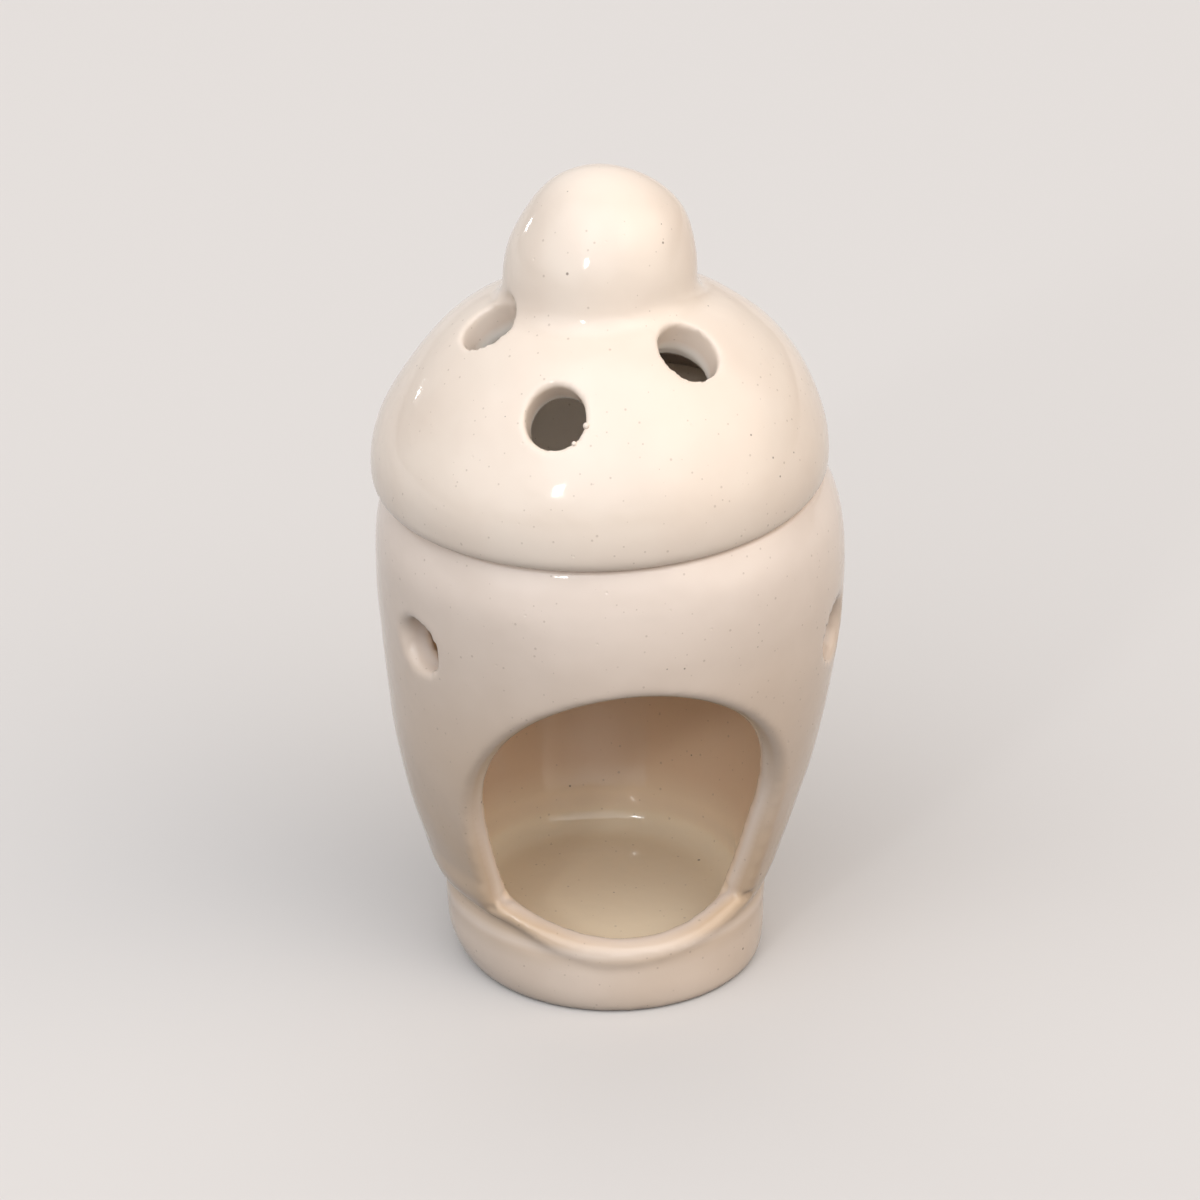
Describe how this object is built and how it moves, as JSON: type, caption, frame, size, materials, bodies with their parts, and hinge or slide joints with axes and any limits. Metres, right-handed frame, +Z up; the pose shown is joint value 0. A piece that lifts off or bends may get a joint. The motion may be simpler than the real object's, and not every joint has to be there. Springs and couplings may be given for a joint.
{
  "type": "lidded incense burner",
  "caption": "Footed ceramic burner pot with an arched candle opening, a drop-in incense dish and a pierced domed lid with a round knob.",
  "frame": {"origin": "middle of the foot's underside, on the surface the burner stands on", "axes": "+Z up along the pot's turning axis; the arched opening faces -Y"},
  "size_m": [0.082, 0.0822, 0.15],
  "materials": {
    "pot_glaze": "glossy cream glaze with sparse iron specks",
    "dish_glaze": "glossy cream glaze",
    "lid_glaze": "glossy cream glaze with sparse iron specks"
  },
  "bodies": {
    "pot": {"pot": "pot_glaze"},
    "dish": {"incense_dish": "dish_glaze"},
    "lid": {"lid": "lid_glaze"}
  },
  "joints": [
    {"name": "dish_lift", "type": "slide", "parent": "pot", "child": "dish", "axis": [0, 0, 1], "range_m": [0, 0.07]},
    {"name": "lid_lift", "type": "slide", "parent": "dish", "child": "lid", "axis": [0, 0, 1], "range_m": [0, 0.1]}
  ]
}
